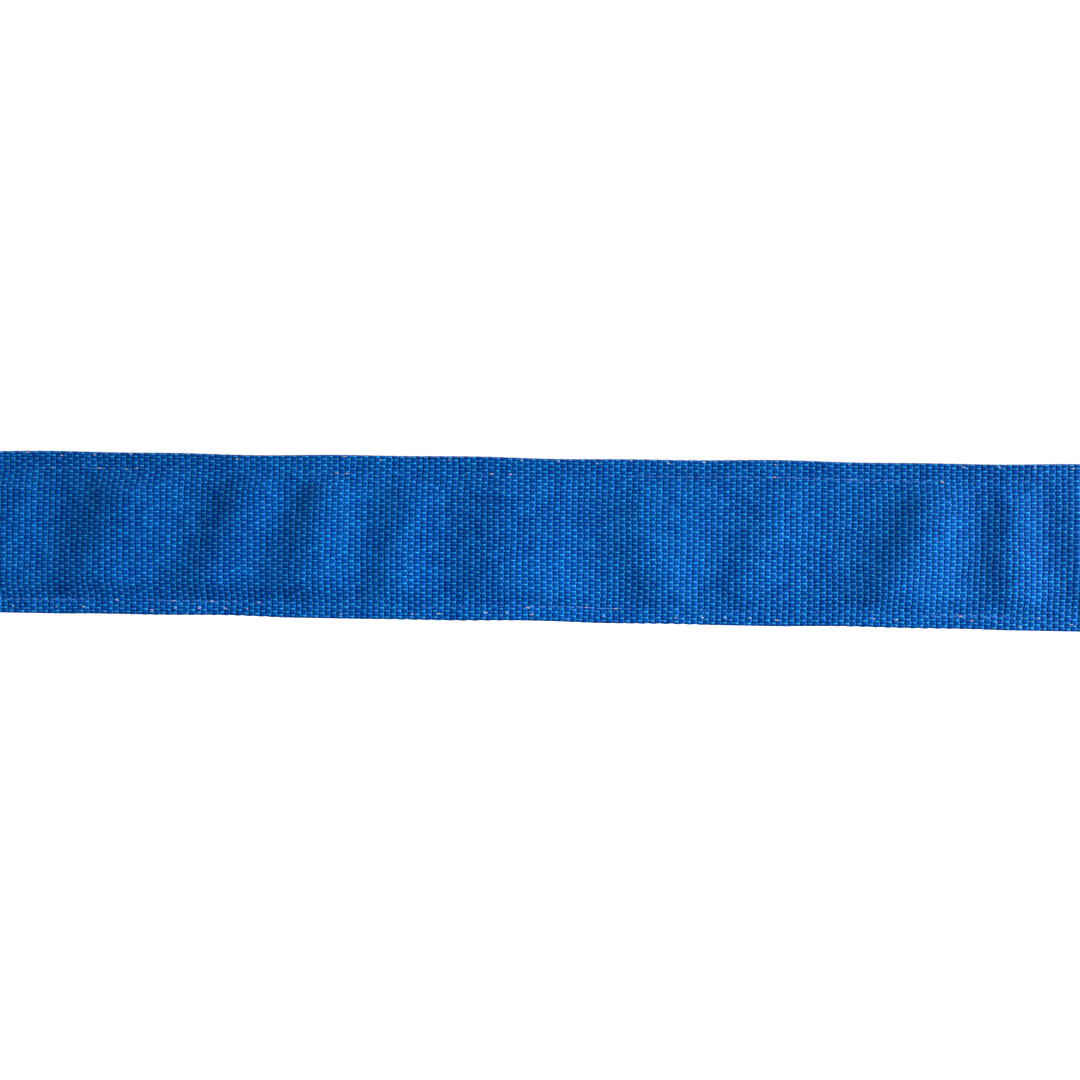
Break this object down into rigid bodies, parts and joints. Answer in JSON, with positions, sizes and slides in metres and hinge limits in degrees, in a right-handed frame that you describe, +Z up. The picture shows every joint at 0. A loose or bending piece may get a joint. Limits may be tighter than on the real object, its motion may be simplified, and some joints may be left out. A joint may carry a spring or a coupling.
{
  "type": "gait belt",
  "caption": "Two-ply woven webbing gait belt, sewn along both edges, closed in a standing loop by a spring-loaded toothed cam buckle with a sliding keeper on its tail.",
  "frame": {"origin": "middle of the footprint, on the surface that the fastened loop stands on", "axes": "+X along the flat stretch that lies across the wearer's back, +Y from that stretch to the buckle, +Z up across the webbing's width"},
  "size_m": [0.5351, 0.165, 0.06],
  "materials": {
    "webbing": "coarse plain weave",
    "thread": "twisted thread",
    "keeper_webbing": "fine rib",
    "label_cloth": "satin tape",
    "plated_steel": "nickel plate",
    "spring_steel": "drawn wire"
  },
  "bodies": {
    "belt": {"outer_webbing": "webbing", "inner_webbing": "webbing", "upper_edge_seam": "thread", "lower_edge_seam": "thread", "anchor_box_stitch": "thread", "care_label": "label_cloth", "label_stitch": "thread", "tail_tip": "plated_steel", "buckle_frame": "plated_steel", "anchor_pin": "plated_steel", "pivot_pin": "plated_steel", "torsion_springs": "spring_steel"},
    "keeper": {"sliding_keeper": "keeper_webbing", "keeper_bartack": "thread"},
    "lever": {"cam_lever": "plated_steel"}
  },
  "joints": [
    {"name": "lever_press", "type": "hinge", "parent": "belt", "child": "lever", "pos_m": [0.044, 0.06522, 0.03021], "axis": [0, 0.0328, -0.9995], "range_deg": [0, 18], "stiffness_Nm_per_rad": 0.6, "springref_deg": -20.05, "deforming": ["torsion_springs"]},
    {"name": "keeper_slide", "type": "slide", "parent": "belt", "child": "keeper", "axis": [1, 0, 0], "range_m": [-0.045, 0.04]}
  ]
}
